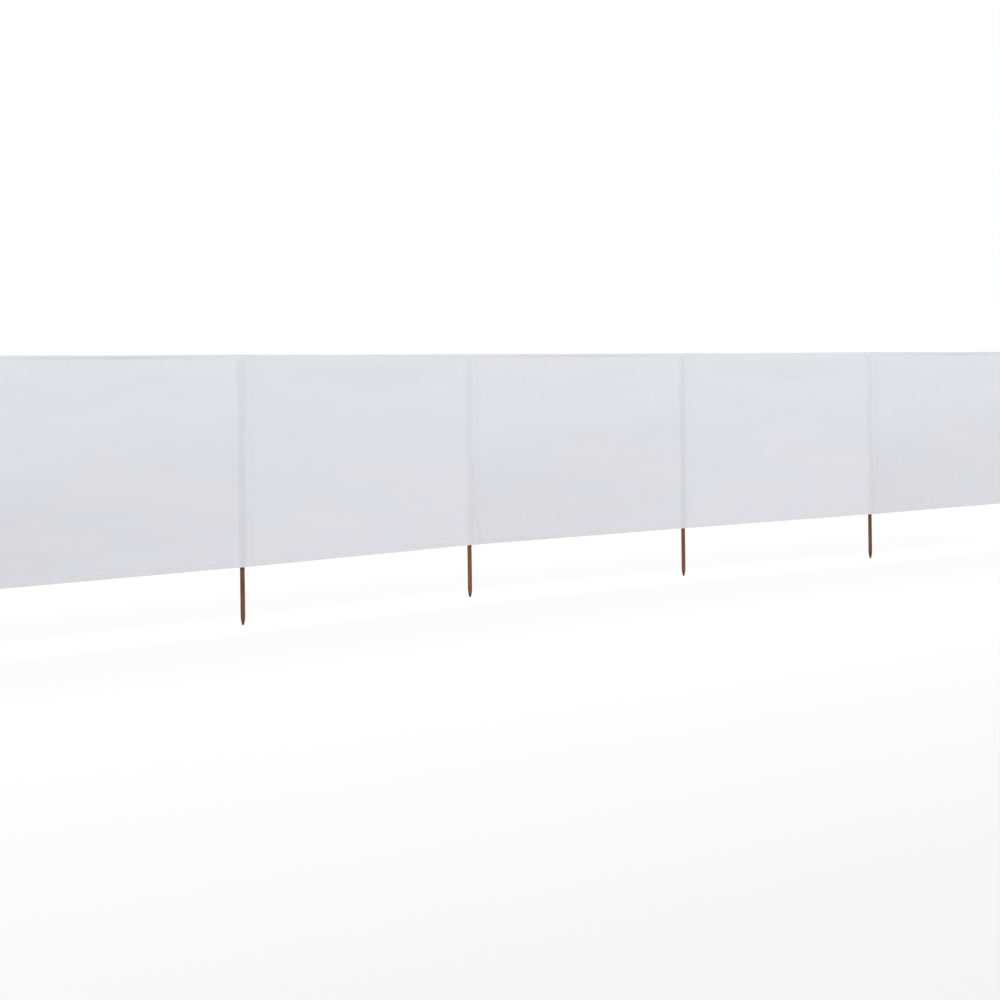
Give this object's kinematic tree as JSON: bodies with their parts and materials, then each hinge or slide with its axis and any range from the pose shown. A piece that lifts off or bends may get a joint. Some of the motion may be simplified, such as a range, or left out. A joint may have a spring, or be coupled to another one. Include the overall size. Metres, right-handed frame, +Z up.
{
  "type": "beach windbreak",
  "caption": "Low beach windbreak: taut plain cloth bays on round pointed poles held in sewn back pockets, in a slightly bent row staked into the ground.",
  "frame": {"origin": "blunt end of the middle pole's point, the lowest place on that pole", "axes": "+X along the row, +Y towards the back of the cloth where the pole pockets are, +Z up"},
  "size_m": [8.0536, 0.1954, 1.018],
  "materials": {
    "cloth": "matt white woven polyester",
    "hem": "matt white cloth, turned edge",
    "pocket": "matt white cloth strip, sewn",
    "pole": "dark red-brown stained, satin"
  },
  "bodies": {
    "root": {"pole_1": "pole", "pole_pocket_1": "pocket", "pole_2": "pole", "pole_pocket_2": "pocket", "pole_3": "pole", "pole_pocket_3": "pocket", "pole_4": "pole", "pole_pocket_4": "pocket", "pole_5": "pole", "pole_pocket_5": "pocket", "pole_6": "pole", "pole_pocket_6": "pocket", "pole_7": "pole", "pole_pocket_7": "pocket", "cloth_bay_1": "cloth", "top_hem_1": "hem", "bottom_hem_1": "hem", "cloth_bay_2": "cloth", "top_hem_2": "hem", "bottom_hem_2": "hem", "cloth_bay_3": "cloth", "top_hem_3": "hem", "bottom_hem_3": "hem", "cloth_bay_4": "cloth", "top_hem_4": "hem", "bottom_hem_4": "hem", "cloth_bay_5": "cloth", "top_hem_5": "hem", "bottom_hem_5": "hem", "cloth_bay_6": "cloth", "top_hem_6": "hem", "bottom_hem_6": "hem"}
  },
  "joints": []
}
